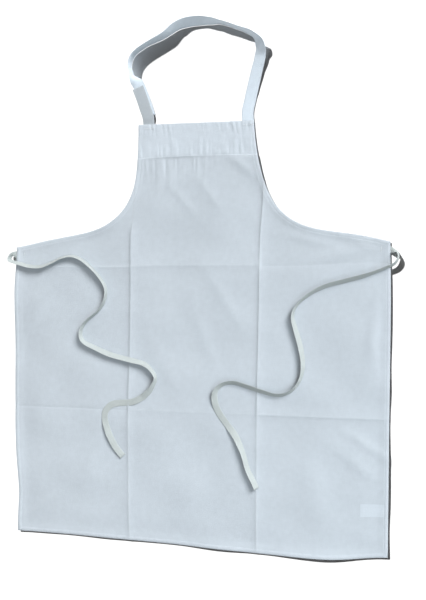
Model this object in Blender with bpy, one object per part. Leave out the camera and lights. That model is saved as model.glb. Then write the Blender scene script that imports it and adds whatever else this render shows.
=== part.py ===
"""A plain cotton bib apron that lies flat with its front up. Metres, +Z up, +Y towards the neck loop.

Every piece is drawn with the bottom edge of the apron on Y = 0 and its back on Z = 0. At the end all
pieces move along Y together, so that the middle of the ground that they cover, without the waist
ties, is the origin. The layers lie from the ground up: hems and top band, then the sewn end of the
neck strap, then the panel, then the waist ties. Pieces that touch on the real apron are a GAP apart.
"""

import math

import bmesh
import bpy
from mathutils import Matrix, Vector

# The panel
BODY_WIDTH = 0.760
BODY_LENGTH = 0.842  # bottom edge to the top of the bib
SIDE_LENGTH = 0.601  # bottom edge to the waist corner
BIB_WIDTH = 0.230
ARMHOLE_FROM_BIB = (0.005, -0.162)  # handle of the armhole curve at the bib corner
ARMHOLE_FROM_WAIST = (-0.240, 0.039)  # handle of the armhole curve at the waist corner
ARMHOLE_STEPS = 28
FOLD_Y = 0.270  # the crease where the lower third folds up
CLOTH = 0.0005
GAP = 0.0003

# Hems and band, all turned to the back
HEM_WIDTH = 0.010
ARMHOLE_HEM = 0.008
BAND_DEPTH = 0.065

# Neck strap, its tab and its hook-and-loop pads
STRAP_WIDTH = 0.023
STRAP_THICK = 0.0008
STRAP_SEWN = 0.028  # hidden length between the panel and the band
STRAP_SPACING = 0.011
PAD_LENGTH = 0.046
PAD_MARGIN = 0.002
PAD_THICK = 0.0007

# Waist ties
TIE_WIDTH = 0.013
TIE_THICK = 0.0008
TIE_SEWN = 0.026  # hidden length under the waist corner
TIE_REACH = 0.0015  # how far the sewn end shows past the side edge
TIE_SPACING = 0.012

# Care label and bar tacks
LABEL_SIZE = (0.042, 0.025)
LABEL_HEIGHT = 0.081  # lower edge of the label above the bottom edge
TACK_SIZE = (0.002, 0.0004)  # width and height of a bar tack
TACK_INSET = 0.008

# Heights of the layers
BAND_TOP = CLOTH
STRAP_LOW = BAND_TOP + GAP
STRAP_TOP = STRAP_LOW + STRAP_THICK
HEM_TOP = STRAP_TOP
PANEL_LOW = HEM_TOP + GAP
PANEL_TOP = PANEL_LOW + CLOTH
TIE_LOW = PANEL_TOP + GAP
TIE_TOP = TIE_LOW + TIE_THICK
FOLD_AXIS_Z = TIE_TOP + GAP
NECK_AXIS_Z = PANEL_TOP + GAP
STRAP_END_TOP = 0.0002 + STRAP_THICK  # the strap's free end lies on the ground
OVER_STRAP = STRAP_END_TOP + 3 * GAP + 2 * PAD_THICK  # the tab lies over the strap and both pads

# The loop's route: across in half bib widths, up from the top of the bib, lean of the strap in
# degrees (0 flat, 90 on its edge), and height of its lower edge above the ground.
LOOP_ROUTE = (
    (0.910, GAP, 0, STRAP_LOW),
    (0.910, 0.012, 0, STRAP_LOW),
    (0.930, 0.024, 0, STRAP_LOW),
    (0.975, 0.040, 0, 0.0005),
    (1.026, 0.063, 4, 0.0002),
    (1.090, 0.094, 8, 0.0002),
    (1.148, 0.120, 14, 0.0002),
    (1.152, 0.142, 32, 0.0002),
    (1.030, 0.162, 62, 0.0002),
    (0.770, 0.176, 72, 0.0002),
    (0.490, 0.188, 70, 0.0002),
    (0.300, 0.192, 55, 0.0002),
    (0.090, 0.194, 44, 0.0002),
    (-0.115, 0.192, 42, 0.0002),
    (-0.290, 0.185, 50, 0.0002),
    (-0.500, 0.169, 60, 0.0002),
    (-0.810, 0.153, 70, 0.0002),
    (-1.020, 0.137, 76, 0.0002),
    (-1.095, 0.118, 76, 0.0002),
    (-1.065, 0.099, 55, 0.0002),
    (-0.965, 0.077, 0, 0.0002),
    (-0.888, 0.052, 0, 0.0002),
    (-0.832, 0.030, 0, 0.0002),
    (-0.805, 0.0165, 0, 0.0002),
)
# The tab's route: across, up, and height of its underside. It climbs over the strap's free end.
TAB_ROUTE = (
    (-0.815, GAP, STRAP_LOW),
    (-0.815, 0.015, OVER_STRAP),
    (-0.860, 0.034, OVER_STRAP),
    (-0.905, 0.052, OVER_STRAP),
    (-0.975, 0.073, OVER_STRAP),
)

# The ties' routes from each waist corner: inwards from the side edge, up from the corner, lean of the
# tape in degrees, and height of its lower edge. They come out from under the corner, bow past the
# edge and cross to the front, and they lie flat where they pass the fold line.
LEFT_TIE_ROUTE = (
    (-0.0035, -0.0150, 70, 0.0003),
    (-0.0075, -0.0165, 75, 0.0006),
    (-0.0100, -0.0210, 75, 0.0016),
    (-0.0080, -0.0280, 70, TIE_LOW),
    (0.013, -0.034, 62, TIE_LOW),
    (0.038, -0.040, 60, TIE_LOW),
    (0.062, -0.040, 60, TIE_LOW),
    (0.084, -0.032, 62, TIE_LOW),
    (0.104, -0.023, 66, TIE_LOW),
    (0.126, -0.019, 70, TIE_LOW),
    (0.146, -0.025, 74, TIE_LOW),
    (0.167, -0.041, 78, TIE_LOW),
    (0.185, -0.060, 80, TIE_LOW),
    (0.198, -0.080, 80, TIE_LOW),
    (0.200, -0.097, 80, TIE_LOW),
    (0.195, -0.114, 80, TIE_LOW),
    (0.183, -0.131, 80, TIE_LOW),
    (0.164, -0.146, 78, TIE_LOW),
    (0.150, -0.161, 76, TIE_LOW),
    (0.145, -0.178, 74, TIE_LOW),
    (0.151, -0.193, 66, TIE_LOW),
    (0.172, -0.204, 58, TIE_LOW),
    (0.209, -0.219, 50, TIE_LOW),
    (0.252, -0.229, 48, TIE_LOW),
    (0.277, -0.235, 55, TIE_LOW),
    (0.293, -0.246, 70, TIE_LOW),
    (0.303, -0.262, 74, TIE_LOW),
    (0.298, -0.278, 58, TIE_LOW),
    (0.286, -0.294, 30, TIE_LOW),
    (0.269, -0.307, 8, TIE_LOW),
    (0.250, -0.315, 0, TIE_LOW),
    (0.228, -0.317, 0, TIE_LOW),
    (0.208, -0.322, 0, TIE_LOW),
    (0.196, -0.335, 0, TIE_LOW),
    (0.194, -0.350, 0, TIE_LOW),
    (0.198, -0.366, 15, TIE_LOW),
    (0.205, -0.386, 20, TIE_LOW),
    (0.217, -0.409, 15, TIE_LOW),
    (0.232, -0.427, 10, TIE_LOW),
)
RIGHT_TIE_ROUTE = (
    (-0.0035, -0.0150, 70, 0.0003),
    (-0.0095, -0.0150, 75, 0.0005),
    (-0.0140, -0.0190, 75, 0.0010),
    (-0.0135, -0.0270, 72, 0.0020),
    (-0.0060, -0.0360, 65, TIE_LOW),
    (0.010, -0.043, 66, TIE_LOW),
    (0.032, -0.052, 62, TIE_LOW),
    (0.056, -0.060, 52, TIE_LOW),
    (0.087, -0.068, 50, TIE_LOW),
    (0.122, -0.078, 52, TIE_LOW),
    (0.152, -0.094, 62, TIE_LOW),
    (0.175, -0.115, 72, TIE_LOW),
    (0.183, -0.136, 66, TIE_LOW),
    (0.178, -0.159, 50, TIE_LOW),
    (0.169, -0.190, 44, TIE_LOW),
    (0.163, -0.223, 50, TIE_LOW),
    (0.165, -0.250, 62, TIE_LOW),
    (0.176, -0.272, 66, TIE_LOW),
    (0.194, -0.286, 58, TIE_LOW),
    (0.217, -0.290, 50, TIE_LOW),
    (0.248, -0.282, 42, TIE_LOW),
    (0.272, -0.275, 42, TIE_LOW),
    (0.298, -0.268, 48, TIE_LOW),
    (0.320, -0.272, 52, TIE_LOW),
    (0.334, -0.285, 45, TIE_LOW),
    (0.337, -0.303, 15, TIE_LOW),
    (0.331, -0.325, 0, TIE_LOW),
    (0.314, -0.350, 0, TIE_LOW),
    (0.296, -0.373, 20, TIE_LOW),
    (0.280, -0.406, 50, TIE_LOW),
    (0.270, -0.439, 52, TIE_LOW),
    (0.259, -0.461, 48, TIE_LOW),
    (0.252, -0.476, 46, TIE_LOW),
)


def clear_scene():
    for obj in list(bpy.data.objects):
        bpy.data.objects.remove(obj)


def cloth_material(name, colour, roughness):
    material = bpy.data.materials.new(name)
    material.use_nodes = True
    shader = material.node_tree.nodes["Principled BSDF"]
    shader.inputs["Base Color"].default_value = (*colour, 1.0)
    shader.inputs["Roughness"].default_value = roughness
    shader.inputs["Metallic"].default_value = 0.0
    return material


def add_object(name, bm, material, parts):
    """Closes the bmesh into an object with its own material, and remembers it under its name."""
    bmesh.ops.recalc_face_normals(bm, faces=bm.faces)
    mesh = bpy.data.meshes.new(name)
    bm.to_mesh(mesh)
    bm.free()
    mesh.materials.append(material)
    obj = bpy.data.objects.new(name, mesh)
    bpy.context.scene.collection.objects.link(obj)
    parts[name] = obj


def slab(outline, low, high):
    """A flat piece: an outline in the ground plane, raised from one height to another."""
    bm = bmesh.new()
    face = bm.faces.new([bm.verts.new((x, y, low)) for x, y in outline])
    raised = bmesh.ops.extrude_face_region(bm, geom=[face])["geom"]
    tops = [item for item in raised if isinstance(item, bmesh.types.BMVert)]
    bmesh.ops.translate(bm, verts=tops, vec=(0, 0, high - low))
    bmesh.ops.triangulate(bm, faces=bm.faces)
    return bm


def box(left, right, bottom, top, low, high):
    return slab([(left, bottom), (right, bottom), (right, top), (left, top)], low, high)


def keep_side(bm, upper):
    """Cuts a piece at the fold line and keeps one side of it, half a gap from the line."""
    cut = bm.copy()
    cuts_at = FOLD_Y + (GAP / 2 if upper else -GAP / 2)
    everything = list(cut.verts) + list(cut.edges) + list(cut.faces)
    bmesh.ops.bisect_plane(
        cut,
        geom=everything,
        plane_co=(0, cuts_at, 0),
        plane_no=(0, 1, 0),
        clear_inner=upper,
        clear_outer=not upper,
    )
    rim = [edge for edge in cut.edges if edge.is_boundary]
    bmesh.ops.holes_fill(cut, edges=rim)
    bmesh.ops.triangulate(cut, faces=cut.faces)
    return cut


def add_folding_object(names, bm, material, parts):
    """One physical piece in two nodes, which meet at the fold line."""
    for name, upper in zip(names, (True, False)):
        add_object(name, keep_side(bm, upper), material, parts)
    bm.free()


def smooth_route(points, spacing):
    """Even steps along the smooth curve through the points. Each point is a vector of its place in
    the ground plane, the height of the strap's lower edge as z, and its lean in degrees as w. The
    height and the lean ease from point to point, so they never pass the values that are given."""
    fine = []
    ends = [points[0], *points, points[-1]]
    per_span = 12
    for before, start, end, after in zip(ends, ends[1:], ends[2:], ends[3:]):
        for step in range(per_span):
            t = step / per_span
            curve = (
                2 * start
                + (end - before) * t
                + (2 * before - 5 * start + 4 * end - after) * t**2
                + (3 * start - before - 3 * end + after) * t**3
            ) / 2
            eased = start.lerp(end, t * t * (3 - 2 * t))
            fine.append(Vector((curve.x, curve.y, eased.z, eased.w)))
    fine.append(points[-1])
    run = [0.0]
    for start, end in zip(fine, fine[1:]):
        run.append(run[-1] + (end.xyz - start.xyz).length)
    count = round(run[-1] / spacing)
    even = []
    span = 0
    for step in range(count + 1):
        along = run[-1] * step / count
        while span < len(fine) - 2 and run[span + 1] < along:
            span += 1
        share = (along - run[span]) / (run[span + 1] - run[span])
        even.append(fine[span].lerp(fine[span + 1], min(share, 1.0)))
    return even


def ribbon(points, width, thick, spacing):
    """A flat strap on a curve through the points of a route, as smooth_route reads them."""
    steps = smooth_route(points, spacing)
    curve = bpy.data.curves.new("ribbon", "CURVE")
    curve.dimensions = "3D"
    curve.twist_mode = "Z_UP"
    curve.extrude = (width - thick) / 2
    curve.bevel_depth = thick / 2
    curve.bevel_resolution = 0
    curve.use_fill_caps = True
    spline = curve.splines.new("POLY")
    spline.points.add(len(steps) - 1)
    for point, step in zip(spline.points, steps):
        lean = math.radians(step.w)
        rise = width / 2 * math.sin(lean) + thick / 2 * math.cos(lean)
        point.co = (step.x, step.y, step.z + rise, 1.0)
        point.tilt = math.radians(90) - lean
    guide = bpy.data.objects.new("ribbon", curve)
    bpy.context.scene.collection.objects.link(guide)
    bpy.context.view_layer.update()
    mesh = bpy.data.meshes.new_from_object(guide.evaluated_get(bpy.context.evaluated_depsgraph_get()))
    bm = bmesh.new()
    bm.from_mesh(mesh)
    bpy.data.objects.remove(guide)
    bpy.data.curves.remove(curve)
    bpy.data.meshes.remove(mesh)
    bmesh.ops.remove_doubles(bm, verts=bm.verts, dist=1e-6)
    open_rims = [edge for edge in bm.edges if edge.is_boundary]
    bmesh.ops.holes_fill(bm, edges=open_rims)
    bmesh.ops.triangulate(bm, faces=bm.faces)
    return bm


def armhole_point(t):
    """A point on the right armhole edge, from the bib corner at 0 to the waist corner at 1."""
    start = Vector((BIB_WIDTH / 2, BODY_LENGTH))
    end = Vector((BODY_WIDTH / 2, SIDE_LENGTH))
    first = start + Vector(ARMHOLE_FROM_BIB)
    second = end + Vector(ARMHOLE_FROM_WAIST)
    return (
        start * (1 - t) ** 3
        + first * 3 * t * (1 - t) ** 2
        + second * 3 * t**2 * (1 - t)
        + end * t**3
    )


def armhole_inwards(t, distance):
    """A point inside the armhole edge, square to it."""
    small = 0.002
    ahead = armhole_point(min(t + small, 1.0)) - armhole_point(max(t - small, 0.0))
    ahead.normalize()
    return armhole_point(t) + Vector((ahead.y, -ahead.x)) * distance


def armhole_at_height(y):
    """Where the armhole edge passes a height, as its share of the curve."""
    low, high = 0.0, 1.0
    for _ in range(40):
        middle = (low + high) / 2
        if armhole_point(middle).y > y:
            low = middle
        else:
            high = middle
    return low


def mirrored(outline, side):
    return [(side * x, y) for x, y in outline]


def build_panel(parts):
    material = cloth_material("panel_cotton", (0.60, 0.69, 0.76), 0.85)
    right = [tuple(armhole_point(step / ARMHOLE_STEPS)) for step in range(ARMHOLE_STEPS + 1)]
    half = BODY_WIDTH / 2
    outline = [(-half, 0.0), (half, 0.0), *reversed(right), *mirrored(right, -1)]
    add_folding_object(
        ("main_panel", "main_panel_lower"), slab(outline, PANEL_LOW, PANEL_TOP), material, parts
    )


def build_band(parts):
    """The top of the bib, turned down to the back."""
    material = cloth_material("band_cotton", (0.64, 0.72, 0.79), 0.85)
    lower = armhole_at_height(BODY_LENGTH - BAND_DEPTH)
    count = 6
    right = [tuple(armhole_point(lower * step / count)) for step in range(count + 1)]
    outline = [*reversed(right), *mirrored(right, -1)]
    add_object("top_band", slab(outline, 0.0, BAND_TOP), material, parts)


def build_armhole_hem(parts, side, word):
    """A narrow turned hem that follows the armhole from the band to the waist corner."""
    material = cloth_material(f"armhole_hem_{word}_cotton", (0.63, 0.71, 0.78), 0.85)
    start = armhole_at_height(BODY_LENGTH - BAND_DEPTH - GAP)
    shares = [start + (1 - start) * step / ARMHOLE_STEPS for step in range(ARMHOLE_STEPS + 1)]
    outer = [tuple(armhole_point(t)) for t in shares]
    inner = [tuple(armhole_inwards(t, ARMHOLE_HEM)) for t in shares]
    # The last inner point is level with the side edge, so the hem ends flush with it.
    inner[-1] = (BODY_WIDTH / 2, waist_corner_top())
    outline = mirrored([*outer, *reversed(inner)], side)
    add_object(f"armhole_hem_{word}", slab(outline, 0.0, HEM_TOP), material, parts)


def waist_corner_top():
    """Height on the side edge where the armhole hem ends."""
    slope = Vector(ARMHOLE_FROM_WAIST).normalized()
    return SIDE_LENGTH - ARMHOLE_HEM / abs(slope.x)


def sewn_tie_middle():
    """Height of the middle of the tie's sewn end, just under the armhole hem."""
    return waist_corner_top() - GAP - TIE_WIDTH / 2


def build_side_hem(parts, side, word):
    material = cloth_material(f"side_hem_{word}_cotton", (0.63, 0.71, 0.78), 0.85)
    outer = BODY_WIDTH / 2
    top = sewn_tie_middle() - TIE_WIDTH / 2 - GAP
    inner = outer - HEM_WIDTH
    low = HEM_WIDTH + GAP
    outline = mirrored([(inner, low), (outer, low), (outer, top), (inner, top)], side)
    names = (f"side_hem_{word}", f"side_hem_{word}_lower")
    add_folding_object(names, slab(outline, 0.0, HEM_TOP), material, parts)


def build_bottom_hem(parts):
    material = cloth_material("bottom_hem_cotton", (0.63, 0.71, 0.78), 0.85)
    half = BODY_WIDTH / 2
    add_object("bottom_hem", box(-half, half, 0.0, HEM_WIDTH, 0.0, HEM_TOP), material, parts)


def build_care_label(parts):
    """A blank woven label behind the lower right side, its end against the side hem."""
    material = cloth_material("label_satin", (0.75, 0.80, 0.84), 0.55)
    right = BODY_WIDTH / 2 - HEM_WIDTH - GAP
    top = LABEL_HEIGHT + LABEL_SIZE[1]
    label = box(right - LABEL_SIZE[0], right, LABEL_HEIGHT, top, PANEL_LOW - GAP - CLOTH, PANEL_LOW - GAP)
    add_object("care_label", label, material, parts)


def loop_points():
    return [
        Vector((across * BIB_WIDTH / 2, BODY_LENGTH + up, low, lean)) for across, up, lean, low in LOOP_ROUTE
    ]


def tab_points():
    return [Vector((across * BIB_WIDTH / 2, BODY_LENGTH + up, low, 0.0)) for across, up, low in TAB_ROUTE]


def build_neck_strap(parts):
    strap = cloth_material("strap_cotton", (0.66, 0.74, 0.81), 0.85)
    tab = cloth_material("tab_cotton", (0.52, 0.57, 0.61), 0.85)
    add_object("neck_strap", ribbon(loop_points(), STRAP_WIDTH, STRAP_THICK, STRAP_SPACING), strap, parts)
    add_object("neck_tab", ribbon(tab_points(), STRAP_WIDTH, STRAP_THICK, STRAP_SPACING), tab, parts)
    for name, material, first in (
        ("neck_strap_sewn_end", strap, loop_points()[0]),
        ("neck_tab_sewn_end", tab, tab_points()[0]),
    ):
        left = first.x - STRAP_WIDTH / 2
        sewn = box(
            left, left + STRAP_WIDTH, BODY_LENGTH - STRAP_SEWN, BODY_LENGTH - GAP, STRAP_LOW, STRAP_TOP
        )
        add_object(name, sewn, material, parts)


def build_pads(parts):
    """Hook and loop pads between the free end of the strap and the tab over it."""
    hook = cloth_material("hook_nylon", (0.70, 0.74, 0.77), 0.6)
    pile = cloth_material("pile_nylon", (0.72, 0.76, 0.79), 0.9)
    first, last = tab_points()[1], tab_points()[-1]
    ahead = (last.xyz - first.xyz).normalized()
    middle = first.xyz.lerp(last.xyz, 0.5)
    turn = Matrix.Rotation(math.atan2(ahead.y, ahead.x) - math.pi / 2, 3, "Z")
    half_width = STRAP_WIDTH / 2 - PAD_MARGIN
    for name, material, low in (
        ("loop_pad", pile, STRAP_END_TOP + GAP),
        ("hook_pad", hook, STRAP_END_TOP + GAP + PAD_THICK + GAP),
    ):
        pad = box(-half_width, half_width, -PAD_LENGTH / 2, PAD_LENGTH / 2, low, low + PAD_THICK)
        bmesh.ops.rotate(pad, verts=pad.verts, cent=(0, 0, 0), matrix=turn)
        bmesh.ops.translate(pad, verts=pad.verts, vec=(middle.x, middle.y, 0))
        add_object(name, pad, material, parts)


def tie_points(route, side):
    """A tie's route, placed from its waist corner."""
    edge = side * BODY_WIDTH / 2
    return [Vector((edge - side * inwards, SIDE_LENGTH + up, low, lean)) for inwards, up, lean, low in route]


def build_waist_tie(parts, side, word, route):
    material = cloth_material(f"tie_{word}_tape", (0.72, 0.79, 0.80), 0.85)
    tape = ribbon(tie_points(route, side), TIE_WIDTH, TIE_THICK, TIE_SPACING)
    add_folding_object((f"waist_tie_{word}", f"waist_tie_{word}_lower"), tape, material, parts)
    outer = BODY_WIDTH / 2 + TIE_REACH
    middle = sewn_tie_middle()
    outline = mirrored(
        [
            (outer - TIE_SEWN, middle - TIE_WIDTH / 2),
            (outer, middle - TIE_WIDTH / 2),
            (outer, middle + TIE_WIDTH / 2),
            (outer - TIE_SEWN, middle + TIE_WIDTH / 2),
        ],
        side,
    )
    add_object(f"waist_tie_{word}_sewn_end", slab(outline, 0.0, TIE_THICK), material, parts)


def build_bar_tacks(parts):
    """Short dense rows of thread over the sewn ends, on the front of the panel."""
    thread = cloth_material("thread", (0.78, 0.82, 0.85), 0.7)
    width, height = TACK_SIZE
    low, high = PANEL_TOP + GAP, PANEL_TOP + GAP + height
    for name, x in (
        ("bar_tack_strap", loop_points()[0].x),
        ("bar_tack_tab", tab_points()[0].x),
    ):
        half = STRAP_WIDTH / 2 - PAD_MARGIN
        y = BODY_LENGTH - TACK_INSET
        add_object(name, box(x - half, x + half, y - width / 2, y + width / 2, low, high), thread, parts)
    for side, word in ((-1, "left"), (1, "right")):
        x = side * (BODY_WIDTH / 2 - TIE_SEWN + TACK_INSET)
        y = sewn_tie_middle()
        half = TIE_WIDTH / 2
        tack = box(x - width / 2, x + width / 2, y - half, y + half, low, high)
        add_object(f"bar_tack_tie_{word}", tack, thread, parts)


def add_axis(name, y, z, moving):
    """An empty on a hinge line, with the pieces that turn about it as its children."""
    axis = bpy.data.objects.new(name, None)
    axis.location = (0.0, y, z)
    bpy.context.scene.collection.objects.link(axis)
    for obj in moving:
        obj.data.transform(Matrix.Translation((0.0, -y, -z)))
        obj.parent = axis


def main():
    clear_scene()
    parts = {}
    build_panel(parts)
    build_band(parts)
    for side, word, route in ((-1, "left", LEFT_TIE_ROUTE), (1, "right", RIGHT_TIE_ROUTE)):
        build_armhole_hem(parts, side, word)
        build_side_hem(parts, side, word)
        build_waist_tie(parts, side, word, route)
    build_bottom_hem(parts)
    build_care_label(parts)
    build_neck_strap(parts)
    build_pads(parts)
    build_bar_tacks(parts)
    middle = max(vertex.co.y for vertex in parts["neck_strap"].data.vertices) / 2
    for obj in parts.values():
        obj.data.transform(Matrix.Translation((0.0, -middle, 0.0)))
    loop = [parts[name] for name in ("neck_strap", "neck_tab", "hook_pad", "loop_pad")]
    lower = [obj for name, obj in parts.items() if name.endswith("_lower")]
    lower += [parts["bottom_hem"], parts["care_label"]]
    add_axis("neck_hinge_line", BODY_LENGTH - middle, NECK_AXIS_Z, loop)
    add_axis("fold_line", FOLD_Y - middle, FOLD_AXIS_Z, lower)


main()
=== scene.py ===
# %% [markdown]
# # A plain cotton bib apron, laid flat
# The apron lies on a pale table with its front up, its neck loop open and its two waist ties
# thrown loosely over the front. This notebook dresses a imported CAD model of it: the CAD gives the
# places, the sizes and the two hinges, and every cell here adds cloth, tape or thread on top.
# The CAD model is loaded first.

import math

import bmesh
import bpy
import numpy as np
from mathutils import Matrix, Vector


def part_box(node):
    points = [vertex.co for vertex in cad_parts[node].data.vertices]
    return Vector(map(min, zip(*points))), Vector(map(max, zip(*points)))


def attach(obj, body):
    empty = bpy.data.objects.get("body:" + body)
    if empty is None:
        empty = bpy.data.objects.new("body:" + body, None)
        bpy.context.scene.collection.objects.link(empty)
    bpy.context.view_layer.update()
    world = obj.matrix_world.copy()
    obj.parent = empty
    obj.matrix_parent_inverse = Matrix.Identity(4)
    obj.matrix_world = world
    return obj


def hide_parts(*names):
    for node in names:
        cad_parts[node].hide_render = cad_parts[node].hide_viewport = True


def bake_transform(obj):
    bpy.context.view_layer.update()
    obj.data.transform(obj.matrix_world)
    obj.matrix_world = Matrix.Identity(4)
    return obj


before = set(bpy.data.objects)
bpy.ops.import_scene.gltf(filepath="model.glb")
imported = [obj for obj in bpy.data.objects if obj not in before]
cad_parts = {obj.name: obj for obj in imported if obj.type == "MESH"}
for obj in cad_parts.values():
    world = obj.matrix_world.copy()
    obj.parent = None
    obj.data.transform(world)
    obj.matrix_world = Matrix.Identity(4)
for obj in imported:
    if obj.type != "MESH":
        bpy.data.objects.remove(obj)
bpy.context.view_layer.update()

# %% [markdown]
# Lengths are in metres and places are measured from the bottom edge of the apron, the way a maker
# measures: across from the centre line and up from the hem. One number, BOTTOM, moves them into
# the frame.

# %% Driving sizes
MM = 0.001
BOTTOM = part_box("bottom_hem")[0].y
HALF_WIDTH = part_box("bottom_hem")[1].x
BIB_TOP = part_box("main_panel")[1].y - BOTTOM
BIB_HALF = 0.115
WAIST = 0.601
FOLD = 0.270
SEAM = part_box("top_band")[0].y - BOTTOM
PANEL_MIDDLE = 2.15 * MM
CLOTH = 0.5 * MM
SIDES = ((-1, "left"), (1, "right"))
print(f"apron {2 * HALF_WIDTH:.3f} m wide, {BIB_TOP:.3f} m long, band seam at {SEAM:.3f} m")

# %% [markdown]
# The camera comes first. It looks down from above and a little to the right, so the right half is
# seen slightly larger than the left. The floor is a plain pale table top.

# %% Camera and floor
camera = bpy.data.objects.new("camera", bpy.data.cameras.new("camera"))
camera.data.lens = 45.6
camera.data.sensor_width = 36
camera.location = (0.338, 0.5675 + BOTTOM, 1.4693)
camera.rotation_euler = [math.radians(angle) for angle in (-2.796, 11.504, -0.059)]
bpy.context.scene.collection.objects.link(camera)
bpy.context.scene.camera = camera
bpy.context.scene.view_settings.view_transform = "Standard"

FLOOR_DROP = 0.2 * MM
bm = bmesh.new()
bmesh.ops.create_grid(bm, x_segments=2, y_segments=2, size=12)
bmesh.ops.translate(bm, verts=bm.verts, vec=(0, 0, -FLOOR_DROP))
mesh = bpy.data.meshes.new("table_top")
bm.to_mesh(mesh)
bm.free()
floor = bpy.data.objects.new("table_top", mesh)
bpy.context.scene.collection.objects.link(floor)
print("camera", tuple(round(x, 3) for x in camera.location))

# %% [markdown]
# ## Materials
# White cotton is never one white. Threads vary in thickness, the weave catches light in small
# squares, and cloth that lies double looks brighter than cloth that lies single. The weave and the
# mottling are one node group, so that every cotton piece shares them. It reads the flat pattern of
# the piece from a UV map in metres, so the weave follows the cloth when it folds.

# %% Node helpers


def new_group(name, inputs, outputs):
    """A node group with named sockets. Each input is a name, a socket type and a default."""
    group = bpy.data.node_groups.new(name, "ShaderNodeTree")
    for socket, kind, value in inputs:
        made = group.interface.new_socket(socket, in_out="INPUT", socket_type=kind)
        made.default_value = value
    for socket, kind in outputs:
        group.interface.new_socket(socket, in_out="OUTPUT", socket_type=kind)
    return group, group.nodes.new("NodeGroupInput"), group.nodes.new("NodeGroupOutput")


def math_node(tree, operation, *values):
    """A Math node. A value is a number or a socket."""
    node = tree.nodes.new("ShaderNodeMath")
    node.operation = operation
    for socket, value in zip(node.inputs, values):
        if isinstance(value, (int, float)):
            socket.default_value = value
        else:
            tree.links.new(value, socket)
    return node.outputs[0]


def mix_colour(tree, factor, first, second):
    node = tree.nodes.new("ShaderNodeMix")
    node.data_type = "RGBA"
    for socket, value in zip((node.inputs[0], node.inputs[6], node.inputs[7]), (factor, first, second)):
        if isinstance(value, (int, float, tuple)):
            socket.default_value = value
        else:
            tree.links.new(value, socket)
    return node.outputs[2]


def noise_node(tree, vector, scale, detail, stretch=(1, 1, 1)):
    """Soft noise over the cloth, stretched along one direction if asked."""
    mapping = tree.nodes.new("ShaderNodeMapping")
    mapping.inputs["Scale"].default_value = stretch
    tree.links.new(vector, mapping.inputs["Vector"])
    noise = tree.nodes.new("ShaderNodeTexNoise")
    noise.inputs["Scale"].default_value = scale
    noise.inputs["Detail"].default_value = detail
    tree.links.new(mapping.outputs[0], noise.inputs["Vector"])
    return noise.outputs["Fac"]


# %% The woven cotton group
def make_weave_group():
    group, given, result = new_group(
        "woven_cotton",
        [
            ("Pattern", "NodeSocketVector", (0, 0, 0)),
            ("Colour", "NodeSocketColor", (0.6, 0.6, 0.6, 1)),
            ("Double Colour", "NodeSocketColor", (0.7, 0.7, 0.7, 1)),
            ("Dark Edge And Crease Shade Colour", "NodeSocketColor", (0.5, 0.5, 0.5, 1)),
            ("Thread Pitch", "NodeSocketFloat", 0.0006),
            ("Mottle", "NodeSocketFloat", 0.05),
            ("Slub", "NodeSocketFloat", 0.05),
        ],
        [("Colour", "NodeSocketColor"), ("Roughness", "NodeSocketFloat"), ("Height", "NodeSocketFloat")],
    )
    pattern = given.outputs["Pattern"]
    parts = group.nodes.new("ShaderNodeSeparateXYZ")
    group.links.new(pattern, parts.inputs[0])
    turns = math_node(group, "DIVIDE", 2 * math.pi, given.outputs["Thread Pitch"])
    warp = math_node(group, "SINE", math_node(group, "MULTIPLY", parts.outputs[0], turns))
    weft = math_node(group, "SINE", math_node(group, "MULTIPLY", parts.outputs[1], turns))
    weave = math_node(group, "MULTIPLY", warp, weft)
    clouds = noise_node(group, pattern, 9, 4)
    fine = noise_node(group, pattern, 90, 3)
    along = noise_node(group, pattern, 60, 2, (14, 1, 1))
    across = noise_node(group, pattern, 60, 2, (1, 14, 1))
    slub = math_node(group, "ADD", along, across)

    def shade_by(value, middle, amount):
        shift = math_node(group, "SUBTRACT", value, middle)
        return math_node(group, "MULTIPLY", shift, amount)

    tone = math_node(group, "ADD", 1.0, shade_by(clouds, 0.5, given.outputs["Mottle"]))
    tone = math_node(group, "ADD", tone, shade_by(fine, 0.5, given.outputs["Mottle"]))
    tone = math_node(group, "ADD", tone, shade_by(slub, 1.0, given.outputs["Slub"]))
    tone = math_node(group, "ADD", tone, math_node(group, "MULTIPLY", weave, 0.03))

    double = group.nodes.new("ShaderNodeAttribute")
    double.attribute_name = "double"
    # This attribute darkens the cloth: at its cut edges and a tape's two edges, and as painted shade along
    # the panel's firm creases.
    dark_edge_and_crease_shade = group.nodes.new("ShaderNodeAttribute")
    dark_edge_and_crease_shade.attribute_name = "dark_edge_and_crease_shade"
    colour = mix_colour(group, double.outputs["Fac"], given.outputs["Colour"], given.outputs["Double Colour"])
    darkening_here = math_node(group, "MULTIPLY", dark_edge_and_crease_shade.outputs["Fac"], math_node(group, "ADD", 0.4, fine))
    colour = mix_colour(group, darkening_here, colour, given.outputs["Dark Edge And Crease Shade Colour"])
    scaled = group.nodes.new("ShaderNodeVectorMath")
    scaled.operation = "SCALE"
    group.links.new(colour, scaled.inputs[0])
    group.links.new(tone, scaled.inputs["Scale"])
    group.links.new(scaled.outputs[0], result.inputs["Colour"])
    rough = math_node(group, "ADD", 0.82, math_node(group, "MULTIPLY", fine, 0.14))
    group.links.new(rough, result.inputs["Roughness"])
    height = math_node(group, "ADD", weave, math_node(group, "MULTIPLY", slub, 1.2))
    group.links.new(height, result.inputs["Height"])
    return group


WEAVE = make_weave_group()
print("weave group nodes:", len(WEAVE.nodes))


# %% Cloth and tape materials
# The colour that the cloth is painted darker towards: a little at its cut edges, and as painted shade along
# its firm creases.
DARK_EDGE_AND_CREASE_SHADE = (0.46, 0.47, 0.48)
MOTTLE = 0.11
SLUB = 0.07


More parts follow.
